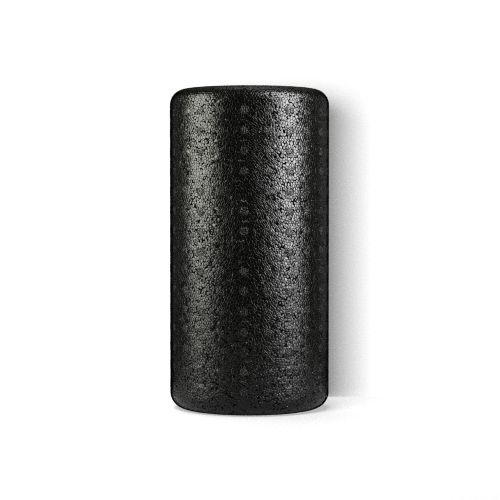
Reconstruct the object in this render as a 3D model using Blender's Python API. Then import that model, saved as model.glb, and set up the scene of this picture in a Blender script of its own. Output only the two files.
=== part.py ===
"""Massage roller of black bead foam: one solid moulded cylinder with rounded shoulders, standing on its end.

Units are metres. The roller's axis is +Z, and the origin is the centre of the flat end that it stands on.
"""

from math import radians

import bmesh
import bpy
from mathutils import Matrix

# Driving dimensions.
INCH = 0.0254
DIAMETER = 6 * INCH
LENGTH = 12 * INCH
SHOULDER_RADIUS = 0.015  # quarter round between the side and each flat end

# Fineness of the round surfaces.
SIDES = 96
SHOULDER_STEPS = 8
RIM_ANGLE = radians(45)  # only the two rims turn by more than this, from the side to an end

# Black expanded polypropylene, steamed to a half-dull skin.
FOAM_COLOUR = (0.010, 0.010, 0.0095, 1.0)
FOAM_ROUGHNESS = 0.45


def clear_scene():
    for obj in list(bpy.data.objects):
        bpy.data.objects.remove(obj, do_unlink=True)


def foam_material():
    material = bpy.data.materials.new("bead_foam")
    material.use_nodes = True
    shader = material.node_tree.nodes["Principled BSDF"]
    shader.inputs["Base Color"].default_value = FOAM_COLOUR
    shader.inputs["Roughness"].default_value = FOAM_ROUGHNESS
    shader.inputs["Metallic"].default_value = 0.0
    material.diffuse_color = FOAM_COLOUR
    return material


def rim_edges(mesh):
    """The edges where the side meets an end."""
    return [edge for edge in mesh.edges if edge.calc_face_angle() > RIM_ANGLE]


def make_foam_body():
    """A full cylinder standing on the XY plane, with both rims rounded over."""
    solid = bmesh.new()
    bmesh.ops.create_cone(
        solid,
        cap_ends=True,
        segments=SIDES,
        radius1=DIAMETER / 2,
        radius2=DIAMETER / 2,
        depth=LENGTH,
        matrix=Matrix.Translation((0, 0, LENGTH / 2)),
    )
    bmesh.ops.bevel(
        solid,
        geom=rim_edges(solid),
        affect="EDGES",
        offset_type="OFFSET",
        offset=SHOULDER_RADIUS,
        segments=SHOULDER_STEPS,
        profile=0.5,
    )
    mesh = bpy.data.meshes.new("foam_body")
    solid.to_mesh(mesh)
    solid.free()
    mesh.shade_smooth()
    mesh.materials.append(foam_material())
    body = bpy.data.objects.new("foam_body", mesh)
    bpy.context.scene.collection.objects.link(body)
    return body


clear_scene()
make_foam_body()
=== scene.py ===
"""Looks of the bead-foam massage roller: its skin of fused beads, their material, and a small photo studio.

Units are metres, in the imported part's frame: +Z is the roller's axis, and it stands on the end at z = 0.
"""

from math import cos, pi, radians, sin, sqrt, tau

import bpy
import numpy as np
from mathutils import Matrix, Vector
from mathutils.geometry import delaunay_2d_cdt


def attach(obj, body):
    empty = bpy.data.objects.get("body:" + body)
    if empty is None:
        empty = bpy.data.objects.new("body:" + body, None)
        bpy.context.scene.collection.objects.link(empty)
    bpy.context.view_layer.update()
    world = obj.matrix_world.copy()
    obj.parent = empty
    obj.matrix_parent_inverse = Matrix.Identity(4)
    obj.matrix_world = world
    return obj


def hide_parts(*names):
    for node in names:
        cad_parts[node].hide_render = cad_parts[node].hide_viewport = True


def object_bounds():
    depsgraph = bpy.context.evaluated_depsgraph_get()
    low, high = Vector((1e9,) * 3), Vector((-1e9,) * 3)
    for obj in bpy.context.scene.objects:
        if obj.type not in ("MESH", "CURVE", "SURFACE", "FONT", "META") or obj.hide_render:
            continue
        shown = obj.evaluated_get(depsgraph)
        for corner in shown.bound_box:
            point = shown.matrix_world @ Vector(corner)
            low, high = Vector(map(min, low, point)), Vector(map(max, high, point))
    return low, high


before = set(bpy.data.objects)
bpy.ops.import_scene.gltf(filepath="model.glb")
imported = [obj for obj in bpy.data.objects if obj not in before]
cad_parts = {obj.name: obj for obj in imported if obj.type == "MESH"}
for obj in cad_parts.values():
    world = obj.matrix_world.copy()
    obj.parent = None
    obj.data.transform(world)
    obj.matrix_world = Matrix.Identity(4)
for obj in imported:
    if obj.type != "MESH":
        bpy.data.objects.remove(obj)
CAD_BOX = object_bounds()

# The roller, from the frame. Its shoulders are quarter rounds.
LENGTH = CAD_BOX[1].z - CAD_BOX[0].z
RADIUS = (CAD_BOX[1].x - CAD_BOX[0].x) / 2
SHOULDER = 0.015
FLAT_RADIUS = RADIUS - SHOULDER
SHOULDER_ARC = SHOULDER * pi / 2
SIDE = LENGTH - 2 * SHOULDER
OUTLINE = 2 * (FLAT_RADIUS + SHOULDER_ARC) + SIDE  # from one end's centre to the other's

# Fused beads.
SEED = 11
BEAD = 0.0029  # usual distance between bead centres
ROW_STEP = BEAD * sqrt(3) / 2
FEWEST_IN_ROW = 6
SCATTER = 0.38  # how far a bead lies from an even packing, as a share of BEAD
DOME = 0.00008  # a bead's usual crown above the line where it meets its neighbours
DOME_RANGE = (0.55, 1.25)  # lowest and highest crown, as shares of DOME
CORNER_SINK = 0.25  # how far the corner between three beads may lie below that line, as a share of DOME
SEAT_INSET = 0.0002  # the beads' seats lie this far inside the CAD surface, and only vent marks pass it
TILT = 0.018  # how far a bead leans, as the usual slope of its face; a few lean several times as far
TILT_SPREAD = 3  # degrees of freedom of that scatter: the fewer, the more odd beads
PIT_SHARE = 0.44  # share of the corners between beads that stay open
PIT_DEPTH = 0.00015  # depth of the largest of these pits
SMALLEST_PIT = 0.5  # size of the smallest, as a share of the largest

# Steam-vent marks, left by round slotted plugs in the mould's wall.
VENT_ROWS = 15
VENT_ROW_STEP = 0.0184
VENT_COLUMNS = 22
VENT_TURN = radians(-3.8)  # where the first column lies, from straight ahead
VENT_RADIUS = 0.0036
VENT_RISE = 0.00035
VENT_LEVEL = 0.86 * VENT_RADIUS  # a mark is level up to here
VENT_SLOPE = 0.45 * VENT_RADIUS  # and falls to the skin over this width
VENT_FLATTENING = 0.45  # how much lower the beads' crowns are in a mark
VENT_MARGIN = 0.45 * BEAD  # from a mark's rim to the nearest centres of other beads
VENT_RINGS = ((0.0, 1), (0.0018, 6), (0.0035, 12))  # radius and number of the small beads in a mark
RING_SCATTER = 0.2  # how far these lie from an even spacing, as a share of it
VENT_WEAKEST = 0.55  # strength of the faintest mark in a plain column
VENT_VARIETY = 0.45  # what chance adds to that at most
FAINT_COLUMN = 0.4  # strength of every second column, as a share of the others'
VENTS_LOST = 0.06  # share of the marks that are missing
LOST_VENT = (0, VENT_ROWS // 2)  # column and row of one that is always missing
NO_VENT = 1.0  # a distance beyond the reach of any mark

# Where foam flowed along the mould's wall and drew the beads out in slanting lines: turn, height, rise.
FLOWS = (
    (radians(1), 0.172, 0.024),
    (radians(118), 0.110, -0.018),
    (radians(-128), 0.200, 0.020),
)
FLOW_HALF_WIDTH = 0.034
FLOW_HALF_HEIGHT = 0.120
FLOW_SEARCH_STEPS = 12

# The map that the beads are joined up on.
MAP_STEPS = 4000
MAP_TOLERANCE = 1e-7


# ---------------------------------------------------------------- outline of the roller


def outline(s):
    """The roller's outline at distance s from the bottom's centre, out and up the side to the top's centre.

    Returns the radius, the height, and the outward and upward parts of the normal.
    """
    s = np.asarray(s, float)
    from_end = np.minimum(s, OUTLINE - s)
    turn = np.clip((from_end - FLAT_RADIUS) / SHOULDER, 0, pi / 2)
    radius = np.minimum(from_end, FLAT_RADIUS) + SHOULDER * np.sin(turn)
    depth = SHOULDER * (1 - np.cos(turn)) + np.maximum(from_end - FLAT_RADIUS - SHOULDER_ARC, 0)
    top = s > OUTLINE / 2
    height = np.where(top, LENGTH - depth, depth)
    upward = np.where(top, np.cos(turn), -np.cos(turn))
    return radius, height, np.sin(turn), upward


def surface(angle, s):
    """Points and outward normals of the smooth roller. Angle 0 faces -Y, and grows towards +X."""
    radius, height, outward, upward = outline(s)
    points = np.stack([radius * np.sin(angle), -radius * np.cos(angle), height], axis=-1)
    normals = np.stack([outward * np.sin(angle), -outward * np.cos(angle), upward], axis=-1)
    return points, normals


# ---------------------------------------------------------------- bead centres


def raised_cosine(x):
    return (1 + np.cos(pi * np.clip(x, -1, 1))) / 2


def wrapped(angle):
    return (angle + pi) % tau - pi


def flow_lift(angle, s):
    """How far the foam's flow has carried the skin along the outline."""
    lift = np.zeros(np.shape(s))
    height_on_side = s - FLAT_RADIUS - SHOULDER_ARC + SHOULDER
    for turn, height, rise in FLOWS:
        across = wrapped(angle - turn) * RADIUS / FLOW_HALF_WIDTH
        up = (height_on_side - height) / FLOW_HALF_HEIGHT
        lift = lift + rise * raised_cosine(across) * raised_cosine(up)
    return lift


def before_flow(angle, s):
    """The place that flow_lift carried to s."""
    source = s
    for _ in range(FLOW_SEARCH_STEPS):
        source = s - flow_lift(angle, source)
    return source


def vent_centres():
    """(angle, s, strength) of each mark, column by column. A missing mark's strength is 0."""
    random = np.random.default_rng(SEED + 1)
    middle_row = (VENT_ROWS - 1) / 2
    marks = []
    for column in range(VENT_COLUMNS):
        angle = wrapped(VENT_TURN + tau * column / VENT_COLUMNS)
        for row in range(VENT_ROWS):
            luck = random.random()
            strength = VENT_WEAKEST + VENT_VARIETY * luck
            if column % 2:
                strength *= FAINT_COLUMN
            if luck < VENTS_LOST or (column, row) == LOST_VENT:
                strength = 0.0
            marks.append((angle, OUTLINE / 2 + (row - middle_row) * VENT_ROW_STEP, strength))
    return np.array(marks)


def vent_distance(angle, s, vents):
    """Distance to the nearest place for a mark, its parts round and along the roller, and its number."""
    column = np.round(wrapped(angle - VENT_TURN) * VENT_COLUMNS / tau).astype(int) % VENT_COLUMNS
    row = np.round((s - OUTLINE / 2) / VENT_ROW_STEP + (VENT_ROWS - 1) / 2)
    row = np.clip(row, 0, VENT_ROWS - 1).astype(int)
    nearest = column * VENT_ROWS + row
    across = wrapped(angle - vents[nearest, 0]) * RADIUS
    along = s - vents[nearest, 1]
    distance = np.hypot(across, along)
    return np.where(vents[nearest, 2] > 0, distance, NO_VENT), across, along, nearest


def even_beads(random):
    """Scattered bead centres before the flow, in rows round the roller.

    The rows nearest an end's centre stay true rings.
    """
    angles, places = [], []
    rows = round(OUTLINE / ROW_STEP)
    for s in np.linspace(0, OUTLINE, rows + 1)[1:-1]:
        radius = float(outline(s)[0])
        count = max(FEWEST_IN_ROW, round(tau * radius / BEAD))
        around = random.random() + np.arange(count) + random.uniform(-SCATTER, SCATTER, count)
        angles.append(tau * around / count)
        inner = min(s, OUTLINE - s) > 2 * ROW_STEP
        places.append(s + (random.uniform(-SCATTER, SCATTER, count) * BEAD if inner else np.zeros(count)))
    return wrapped(np.concatenate(angles)), np.concatenate(places)


def bead_centres(vents):
    """Angle, s, and s before the flow, of every bead. Rings of small beads fill the vent marks."""
    random = np.random.default_rng(SEED)
    angle, source = even_beads(random)
    s = source + flow_lift(angle, source)
    kept = vent_distance(angle, s, vents)[0] > VENT_RADIUS + VENT_MARGIN
    angle, source, s = angle[kept], source[kept], s[kept]
    shown = vents[:, 2] > 0
    for radius, count in VENT_RINGS:
        turns = np.arange(count) + random.uniform(-RING_SCATTER, RING_SCATTER, (len(vents), count))
        turns = tau * turns / count + random.uniform(0, tau, (len(vents), 1))
        ring_angle = (vents[shown, :1] + radius * np.cos(turns[shown]) / RADIUS).ravel()
        ring_s = (vents[shown, 1:2] + radius * np.sin(turns[shown])).ravel()
        angle = np.concatenate([angle, ring_angle])
        s = np.concatenate([s, ring_s])
        source = np.concatenate([source, before_flow(ring_angle, ring_s)])
    return angle, s, source


# ---------------------------------------------------------------- the skin's mesh


def to_plane(angle, s):
    """A map of the skin onto a plane, centred on the bottom's centre, that keeps small circles round."""
    steps = np.linspace(ROW_STEP / 4, OUTLINE - ROW_STEP / 4, MAP_STEPS)
    growth = np.concatenate([[0], np.cumsum(np.diff(steps) / outline((steps[1:] + steps[:-1]) / 2)[0])])
    reach = np.exp(np.interp(s, steps, growth - growth[MAP_STEPS // 2]))
    return [Vector((r * cos(a), r * sin(a))) for r, a in zip(reach, angle)]


def half_edges(triangles):
    """Start and end of each triangle's three edges in turn, so every edge comes once from either side."""
    return triangles.ravel(), np.roll(triangles, -1, axis=1).ravel()


def bead_triangles(angle, s):
    """Triangles between neighbouring bead centres, over the closed skin.

    The last two indices are the centres of the bottom and of the top, which are beads too.
    """
    plane = to_plane(angle, s)
    top_centre = len(plane) + 1
    plane.append(Vector((0, 0)))
    triangles = np.array(delaunay_2d_cdt(plane, [], [], 0, MAP_TOLERANCE)[2])
    start, end = half_edges(triangles)
    size = top_centre + 1
    outer = ~np.isin(start * size + end, end * size + start)
    rim = [(b, a, top_centre) for a, b in zip(start[outer], end[outer])]
    return np.concatenate([triangles, np.array(rim)])


def bead_faces(triangles, beads):
    """A fan of faces round each bead's centre. Corner points, one for each triangle, follow the centres."""
    start, end = half_edges(triangles)
    own = np.repeat(np.arange(len(triangles)), 3)
    key = start * beads + end
    order = np.argsort(key)
    twin = order[np.searchsorted(key[order], end * beads + start)]
    return np.stack([start, beads + own, beads + own[twin]], axis=1)


def seam_strengths(random, triangles, beads):
    """A random number for each pair of neighbouring beads, given to the faces on both sides of the seam."""
    start, end = half_edges(triangles)
    pairs, pair = np.unique(np.minimum(start, end) * beads + np.maximum(start, end), return_inverse=True)
    return random.random(len(pairs))[pair]


def vent_rise(distance, strength):
    """How far a vent mark has risen, from 0 on the skin to its strength in its level middle."""
    down_slope = (distance - VENT_LEVEL) / VENT_SLOPE * (distance > VENT_LEVEL)
    return raised_cosine(down_slope) * strength


def set_attribute(mesh, name, values, domain="POINT"):
    """A float attribute, or a vector one if each value has three parts."""
    values = np.asarray(values, np.float32)
    if values.ndim == 1:
        mesh.attributes.new(name, "FLOAT", domain).data.foreach_set("value", values)
    else:
        mesh.attributes.new(name, "FLOAT_VECTOR", domain).data.foreach_set("vector", values.ravel())


def make_skin():
    """The skin of domed beads, with pits at some of their corners and raised vent marks."""
    vents = vent_centres()
    angle, s, source = bead_centres(vents)
    triangles = bead_triangles(angle, source)
    angle = np.append(angle, [0, 0])
    s = np.append(s, [0, OUTLINE])
    beads = len(angle)

    centres, centre_normals = surface(angle, s)
    corners = centres[triangles].mean(axis=1)
    corner_normals = centre_normals[triangles].sum(axis=1)
    corner_normals /= np.linalg.norm(corner_normals, axis=1, keepdims=True)
    points = np.concatenate([centres, corners])
    normals = np.concatenate([centre_normals, corner_normals])
    angle = np.arctan2(points[:, 0], -points[:, 1])
    s = np.concatenate([s, s[triangles].mean(axis=1)])

    random = np.random.default_rng(SEED + 2)
    is_pit = random.random(len(corners)) < PIT_SHARE
    pits = np.where(is_pit, random.uniform(SMALLEST_PIT, 1, len(corners)), 0)
    crowns = DOME * random.uniform(*DOME_RANGE, beads)
    sinks = -CORNER_SINK * DOME * random.random(len(corners)) - PIT_DEPTH * pits

    distance, across, along, nearest = vent_distance(angle, s, vents)
    strength = vents[nearest, 2]
    mark = vent_rise(distance, strength)
    height = np.concatenate([crowns, sinks]) * (1 - VENT_FLATTENING * mark) + VENT_RISE * mark - SEAT_INSET
    points = points + normals * height[:, None]

    faces = bead_faces(triangles, beads)
    mesh = bpy.data.meshes.new("foam_skin")
    mesh.from_pydata(points.tolist(), [], faces.tolist())
    mesh.shade_smooth()

    twist = random.uniform(0, pi, len(vents))[nearest]
    own_bead = faces[:, 0]
    set_attribute(mesh, "crown", np.concatenate([np.ones(beads), np.zeros(len(corners))]))
    set_attribute(mesh, "pit", np.concatenate([np.zeros(beads), pits]))
    set_attribute(mesh, "vent_strength", strength)
    set_attribute(mesh, "slot_across", across * np.cos(twist) + along * np.sin(twist))
    set_attribute(mesh, "slot_along", along * np.cos(twist) - across * np.sin(twist))
    set_attribute(mesh, "end", np.abs(outline(s)[3]))
    set_attribute(mesh, "tone", random.random(beads)[own_bead], "FACE")
    set_attribute(mesh, "seam", seam_strengths(random, triangles, beads), "FACE")
    set_attribute(mesh, "lean", TILT * random.standard_t(TILT_SPREAD, (beads, 3))[own_bead], "FACE")

    skin = bpy.data.objects.new("foam_skin", mesh)
    bpy.context.scene.collection.objects.link(skin)
    return skin


# ---------------------------------------------------------------- nodes


class Nodes:
    """A material's node tree, with short calls that return sockets."""

    def __init__(self, name):
        self.material = bpy.data.materials.new(name)
        self.material.use_nodes = True
        self.tree = self.material.node_tree
        self.shader = self.tree.nodes["Principled BSDF"]

    def set_input(self, socket, value):
        if isinstance(value, bpy.types.NodeSocket):
            self.tree.links.new(value, socket)
        else:
            socket.default_value = value

    def add(self, kind, **settings):
        node = self.tree.nodes.new(kind)
        for name, value in settings.items():
            setattr(node, name, value)
        return node

    def attribute(self, name):
        return self.add("ShaderNodeAttribute", attribute_name=name).outputs["Fac"]

    def leaning_normal(self, name):
        """The surface's normal, turned by a vector attribute."""
        lean = self.add("ShaderNodeAttribute", attribute_name=name)
        total = self.add("ShaderNodeVectorMath", operation="ADD")
        self.set_input(total.inputs[0], self.add("ShaderNodeNewGeometry").outputs["Normal"])
        self.set_input(total.inputs[1], lean.outputs["Vector"])
        unit = self.add("ShaderNodeVectorMath", operation="NORMALIZE")
        self.set_input(unit.inputs[0], total.outputs[0])
        return unit.outputs[0]

    def math(self, operation, first, second=0.0):
        node = self.add("ShaderNodeMath", operation=operation)
        self.set_input(node.inputs[0], first)
        self.set_input(node.inputs[1], second)
        return node.outputs[0]

    def spread(self, value, low, high, to_low=0.0, to_high=1.0, kind="SMOOTHSTEP"):
        """The value taken from one range to another, and kept inside it."""
        node = self.add("ShaderNodeMapRange", interpolation_type=kind)
        for name, number in (
            ("Value", value),
            ("From Min", low),
            ("From Max", high),
            ("To Min", to_low),
            ("To Max", to_high),
        ):
            self.set_input(node.inputs[name], number)
        return node.outputs[0]

    def noise(self, scale, detail):
        node = self.add("ShaderNodeTexNoise")
        self.set_input(node.inputs["Vector"], self.add("ShaderNodeTexCoord").outputs["Object"])
        node.inputs["Scale"].default_value = scale
        node.inputs["Detail"].default_value = detail
        return node.outputs["Fac"]

    def mix(self, factor, first, second):
        node = self.add("ShaderNodeMix", data_type="RGBA")
        self.set_input(node.inputs["Factor"], factor)
        self.set_input(node.inputs["A"], first)
        self.set_input(node.inputs["B"], second)
        return node.outputs["Result"]

    def bump(self, height, distance, normal):
        node = self.add("ShaderNodeBump")
        node.inputs["Distance"].default_value = distance
        self.set_input(node.inputs["Height"], height)
        self.set_input(node.inputs["Normal"], normal)
        return node.outputs["Normal"]


# ---------------------------------------------------------------- foam material

# Colours.
FOAM_DARK = (0.0011, 0.0011, 0.0009, 1.0)
FOAM_LIGHT = (0.0034, 0.0034, 0.0028, 1.0)
END_GREY = (0.018, 0.018, 0.017, 1.0)
VENT_GREY = (0.055, 0.055, 0.052, 1.0)
# Painted shade: the near-black that pits and grooves are painted, in place of the shade that falls in them.
PAINTED_SHADE_BLACK = (0.0003, 0.0003, 0.0003, 1.0)
WHITE = (1.0, 1.0, 1.0, 1.0)
BLACK = (0.0, 0.0, 0.0, 1.0)
TONE_SHARE = 0.6  # share of the colour's variety that goes bead by bead; the rest comes in patches
PATCH_SHARE = 1 - TONE_SHARE
PATCH_SCALE = 90.0
PATCH_DETAIL = 3.0

# Relief that is finer than the mesh.
PILLOW_RELIEF = 0.00013
PILLOW_POWER = 4.0  # the higher, the flatter a bead's top and the steeper its rim
PIT_RELIEF = 0.0002
VENT_RELIEF = 0.00012

# A pit's hollow, and the shade painted into it, thin out away from its corner: they are whole above the
# first of these, and gone below the second.
PIT_WHOLE = 0.65
PIT_GONE = 0.45

# Grooves between beads, with shade painted into them. Each pair of beads has its own seam, more or less
# open.
GROOVE_WIDTH = 0.22  # share of the way from a seam to a bead's centre
# How dark the painted shade in an open groove is.
GROOVE_PAINTED_SHADE = 0.6
SEAM_SHUT = 0.3
SEAM_OPEN = 0.8
SEAM_LEAST = 0.25  # painted shade of the most closed seams, as a share of the open ones'

# A vent mark's ring, and the straight ridges inside it.
RING_RADIUS = 0.0031
RING_HALF_WIDTH = 0.0006
RIDGE_PITCH = 0.0017
RIDGE_TOP = 0.9
RIDGES_FULL = 0.0024  # the ridges are whole up to this radius
RIDGES_END = 0.0028
SCUFF_SCALE = 700.0
SCUFF_DETAIL = 2.0
SCUFF_LOW = 0.35
SCUFF_HIGH = 0.6

# Gloss.
ROUGHEST_BEAD = 0.26
SMOOTHEST_BEAD = 0.22
SHADED_ROUGHER = 0.5
VENT_ROUGHER = 0.08
END_ROUGHER = 0.22
SIDE_GLOSS = 0.5
END_GLOSS = 0.12
END_START = 0.6  # an end's dull skin starts where the normal's upright part is this
END_FULL = 0.95
GLANCE_START = 0.66  # the gloss fades at glancing angles, so that the outline stays dark against white
GLANCE_END = 0.8


def vent_pattern(n):
    """Ring and ridges of a vent mark, from 0 on the bare skin to the mark's strength."""
    across = n.attribute("slot_across")
    along = n.attribute("slot_along")
    squares = n.math("ADD", n.math("MULTIPLY", across, across), n.math("MULTIPLY", along, along))
    reach = n.math("SQRT", squares)
    off_ring = n.math("ABSOLUTE", n.math("DIVIDE", n.math("SUBTRACT", reach, RING_RADIUS), RING_HALF_WIDTH))
    ring = n.spread(n.math("SUBTRACT", 1.0, off_ring), 0.0, 1.0)
    ridges = n.spread(n.math("SINE", n.math("MULTIPLY", across, tau / RIDGE_PITCH)), 0.0, RIDGE_TOP)
    inside = n.spread(reach, RIDGES_FULL, RIDGES_END, 1.0, 0.0)
    pattern = n.math("MAXIMUM", ring, n.math("MULTIPLY", ridges, inside))
    return n.math("MULTIPLY", pattern, n.attribute("vent_strength"))


def foam_material():
    n = Nodes("bead_foam")
    crown = n.attribute("crown")
    tone = n.attribute("tone")
    vent = vent_pattern(n)
    scuffed = n.math("MULTIPLY", vent, n.spread(n.noise(SCUFF_SCALE, SCUFF_DETAIL), SCUFF_LOW, SCUFF_HIGH))
    dull = n.spread(n.attribute("end"), END_START, END_FULL)

    # Open pits at some corners, and the grooves between beads, are hollows in the mesh and the bump. Their
    # shade is also painted on, as near-black colour and no reflection.
    pit_hollow_and_shade = n.spread(n.attribute("pit"), PIT_GONE, PIT_WHOLE)
    open_seam = n.spread(n.attribute("seam"), SEAM_SHUT, SEAM_OPEN, SEAM_LEAST, 1.0)
    groove_painted_shade = n.math("MULTIPLY", n.spread(crown, 0.0, GROOVE_WIDTH, GROOVE_PAINTED_SHADE, 0.0), open_seam)
    painted_shade = n.math("MAXIMUM", pit_hollow_and_shade, groove_painted_shade)

    # A bead's pillow is steep at its rim and flat on top.
    pillow = n.math("SUBTRACT", 1.0, n.math("POWER", n.math("SUBTRACT", 1.0, crown), PILLOW_POWER))
    normal = n.bump(pillow, PILLOW_RELIEF, n.leaning_normal("lean"))
    normal = n.bump(n.math("SUBTRACT", 1.0, pit_hollow_and_shade), PIT_RELIEF, normal)
    normal = n.bump(vent, VENT_RELIEF, normal)
    n.set_input(n.shader.inputs["Normal"], normal)

    patches = n.math("MULTIPLY", n.noise(PATCH_SCALE, PATCH_DETAIL), PATCH_SHARE)
    lightness = n.math("ADD", n.math("MULTIPLY", tone, TONE_SHARE), patches)
    colour = n.mix(lightness, FOAM_DARK, FOAM_LIGHT)
    colour = n.mix(dull, colour, END_GREY)
    # Painted shade: pits and grooves turn near-black.
    colour = n.mix(painted_shade, colour, PAINTED_SHADE_BLACK)
    colour = n.mix(scuffed, colour, VENT_GREY)
    n.set_input(n.shader.inputs["Base Color"], colour)

    rough = n.spread(tone, 0.0, 1.0, ROUGHEST_BEAD, SMOOTHEST_BEAD, "LINEAR")
    for part, added in ((painted_shade, SHADED_ROUGHER), (vent, VENT_ROUGHER), (dull, END_ROUGHER)):
        rough = n.math("ADD", rough, n.math("MULTIPLY", part, added))
    n.set_input(n.shader.inputs["Roughness"], rough)

    facing = n.add("ShaderNodeLayerWeight").outputs["Facing"]
    glance = n.spread(facing, GLANCE_START, GLANCE_END, 1.0, 0.0)
    gloss = n.math("MULTIPLY", glance, n.spread(dull, 0.0, 1.0, SIDE_GLOSS, END_GLOSS, "LINEAR"))
    n.set_input(n.shader.inputs["Specular IOR Level"], gloss)
    # Painted shade: pits and grooves lose their reflection.
    n.set_input(n.shader.inputs["Specular Tint"], n.mix(painted_shade, WHITE, BLACK))
    return n.material


# ---------------------------------------------------------------- studio

# A white wall close behind the roller, and a white floor. Each gives off some light of its own.
PAPER_ALBEDO = 0.8
WALL_DEPTH = RADIUS + 0.004
WALL_HALF_WIDTH = 0.45
WALL_BOTTOM = -0.25
WALL_TOP = 0.6
WALL_GLOW = 0.41
FLOOR_HEIGHT = -0.0003
FLOOR_REACH = 0.45
FLOOR_GLOW = 0.55

# Lamps aimed at the roller's middle: azimuth, elevation, distance, width and height as angles, power.
WALL_LAMP = (-14.5, 5, 4.0, 22.5, 22, 137)
FLOOR_LAMPS = (
    (-24, 45, 3.0, 34, 24, 55),
    (-170, 57, 2.0, 40, 25, 6.4),
    (-140, 75, 2.0, 40, 25, 12),
)
TOP_LAMP = (180, 75, 0.9, 24, 24, 1.7)

# Softboxes that light only the roller: azimuth and width in degrees, bottom and top, radiance, tint.
WARM = (0.985, 1.0, 0.93)
NEUTRAL = (1.0, 1.0, 1.0)
SOFTBOX_DISTANCE = 0.60
SOFTBOXES = (
    (-71, 38, 0.00, 0.14, 5.6, WARM),
    (-70, 40, 0.14, 0.50, 11.8, WARM),
    (-77, 44, 0.50, 0.80, 11, WARM),
    (-130, 40, 0.00, 0.50, 0.15, WARM),
    (59, 34, 0.00, 0.15, 6.2, NEUTRAL),
    (55.5, 32, 0.15, 0.50, 19.3, NEUTRAL),
    (60, 52, 0.50, 0.80, 16, NEUTRAL),
    (55, 70, 0.80, 1.25, 14, NEUTRAL),
    (130, 40, 0.00, 0.50, 0.4, NEUTRAL),
)
WORLD_LIGHT = 0.01

# A long lens, a little above the roller's middle, that looks slightly down.
SENSOR_WIDTH = 36
LENS = 114.9
CAMERA_SIDE = 0.0005
CAMERA_DISTANCE = 20.09 * RADIUS
CAMERA_HEIGHT = LENGTH / 2 + 0.659 * RADIUS
CAMERA_DIP = radians(1.925)
CONTRAST = 1.33  # how much harder the picture is printed than the light that falls on the lens
PIXEL_FILTER = 1.2


def glowing_material(name, radiance):
    """White paper that gives off its own light besides what it scatters."""
    n = Nodes(name)
    n.shader.inputs["Base Color"].default_value = (PAPER_ALBEDO, PAPER_ALBEDO, PAPER_ALBEDO, 1)
    n.shader.inputs["Roughness"].default_value = 1.0
    n.shader.inputs["Specular IOR Level"].default_value = 0.0
    n.shader.inputs["Emission Color"].default_value = WHITE
    n.shader.inputs["Emission Strength"].default_value = radiance
    return n


def show_front_only(n):
    """Let the back of a sheet be seen through."""
    clear = n.add("ShaderNodeBsdfTransparent").outputs["BSDF"]
    blend = n.add("ShaderNodeMixShader")
    n.set_input(blend.inputs[0], n.add("ShaderNodeNewGeometry").outputs["Backfacing"])
    n.set_input(blend.inputs[1], n.shader.outputs["BSDF"])
    n.set_input(blend.inputs[2], clear)
    n.set_input(n.tree.nodes["Material Output"].inputs["Surface"], blend.outputs["Shader"])


def make_sheet(name, corners, material):
    """A flat backdrop. It casts no shadow, and the roller's diffuse shading leaves it out."""
    mesh = bpy.data.meshes.new(name)
    mesh.from_pydata(corners, [], [tuple(range(len(corners)))])
    mesh.materials.append(material)
    sheet = bpy.data.objects.new(name, mesh)
    sheet.visible_diffuse = False
    sheet.visible_shadow = False
    bpy.context.scene.collection.objects.link(sheet)
    return sheet


def make_wall():
    """The wall that takes the roller's soft shadow. It is clear from behind, and isn't mirrored."""
    paper = glowing_material("wall_white", WALL_GLOW)
    show_front_only(paper)
    corners = [
        (-WALL_HALF_WIDTH, WALL_DEPTH, WALL_BOTTOM),
        (WALL_HALF_WIDTH, WALL_DEPTH, WALL_BOTTOM),
        (WALL_HALF_WIDTH, WALL_DEPTH, WALL_TOP),
        (-WALL_HALF_WIDTH, WALL_DEPTH, WALL_TOP),
    ]
    wall = make_sheet("wall", corners, paper.material)
    wall.visible_glossy = False
    return wall


def make_floor(name, front, back):
    """A white table top under the roller, from one depth to another."""
    corners = [(-FLOOR_REACH, front), (FLOOR_REACH, front), (FLOOR_REACH, back), (-FLOOR_REACH, back)]
    paper = glowing_material(name + "_white", FLOOR_GLOW)
    return make_sheet(name, [(x, y, FLOOR_HEIGHT) for x, y in corners], paper.material)


def light_only(lamp, *lit):
    """Let a lamp light these objects, and nothing else."""
    receivers = bpy.data.collections.new("lit_by_" + lamp.name)
    for target in lit:
        receivers.objects.link(target)
    lamp.light_linking.receiver_collection = receivers


def make_area_lamp(name, width, height, power):
    """A rectangular lamp that the camera doesn't see."""
    light = bpy.data.lights.new(name, "AREA")
    light.shape = "RECTANGLE"
    light.size = width
    light.size_y = height
    light.energy = power
    lamp = bpy.data.objects.new(name, light)
    lamp.visible_camera = False
    bpy.context.scene.collection.objects.link(lamp)
    return lamp


def make_softbox(azimuth, width, low, high, radiance, tint):
    """A panel of light facing the roller's axis. Azimuth 0 is the camera's side, and grows towards +X."""
    across = SOFTBOX_DISTANCE * radians(width)
    box = make_area_lamp("softbox", across, high - low, radiance * pi * across * (high - low))
    box.data.color = tint
    turn = radians(azimuth)
    box.location = (SOFTBOX_DISTANCE * sin(turn), -SOFTBOX_DISTANCE * cos(turn), (low + high) / 2)
    box.rotation_euler = (radians(90), 0, turn)
    return box


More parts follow.
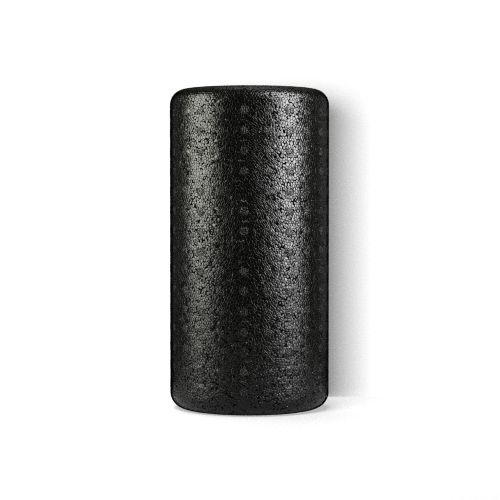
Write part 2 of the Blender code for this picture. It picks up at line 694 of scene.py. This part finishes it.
def make_aimed_lamp(name, azimuth, elevation, distance, width, height, power):
    """A big soft lamp aimed at the roller's middle. Its place and size are angles as seen from there."""
    lamp = make_area_lamp(name, distance * radians(width), distance * radians(height), power)
    turn = radians(azimuth)
    lift = radians(elevation)
    aim = Vector((sin(turn) * cos(lift), -cos(turn) * cos(lift), sin(lift)))
    lamp.location = Vector((0, 0, LENGTH / 2)) + distance * aim
    lamp.rotation_euler = aim.to_track_quat("Z", "Y").to_euler()
    return lamp


def make_studio(skin):
    """Wall, floor and lamps. The floor is in two parts, and the roller mirrors only the front one."""
    wall = make_wall()
    front_floor = make_floor("front_floor", -FLOOR_REACH, WALL_DEPTH)
    back_floor = make_floor("back_floor", WALL_DEPTH, FLOOR_REACH)
    back_floor.visible_glossy = False
    light_only(make_aimed_lamp("wall_lamp", *WALL_LAMP), wall)
    for floor_lamp in FLOOR_LAMPS:
        light_only(make_aimed_lamp("floor_lamp", *floor_lamp), front_floor, back_floor)
    light_only(make_aimed_lamp("top_lamp", *TOP_LAMP), skin)
    for softbox in SOFTBOXES:
        light_only(make_softbox(*softbox), skin)


def make_camera():
    camera = bpy.data.objects.new("camera", bpy.data.cameras.new("camera"))
    bpy.context.scene.collection.objects.link(camera)
    camera.data.sensor_width = SENSOR_WIDTH
    camera.data.lens = LENS
    camera.location = (CAMERA_SIDE, -CAMERA_DISTANCE, CAMERA_HEIGHT)
    camera.rotation_euler = (radians(90) - CAMERA_DIP, 0, 0)
    bpy.context.scene.camera = camera


def make_world():
    """White where the camera sees it, dim where the roller's skin does."""
    world = bpy.data.worlds.new("studio")
    bpy.context.scene.world = world
    world.use_nodes = True
    tree = world.node_tree
    background = tree.nodes["Background"]
    background.inputs["Color"].default_value = WHITE
    path = tree.nodes.new("ShaderNodeLightPath")
    strength = tree.nodes.new("ShaderNodeMapRange")
    strength.inputs["To Min"].default_value = WORLD_LIGHT
    strength.inputs["To Max"].default_value = 1.0
    tree.links.new(path.outputs["Is Camera Ray"], strength.inputs["Value"])
    tree.links.new(strength.outputs["Result"], background.inputs["Strength"])


def set_print():
    """How the light on the lens becomes a picture."""
    scene = bpy.context.scene
    scene.view_settings.view_transform = "Standard"
    scene.view_settings.gamma = 1 / CONTRAST
    scene.cycles.use_denoising = False
    scene.cycles.filter_width = PIXEL_FILTER


make_camera()
make_world()
set_print()

skin = make_skin()
skin.data.materials.append(foam_material())
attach(skin, "root")
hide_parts("foam_body")
make_studio(skin)
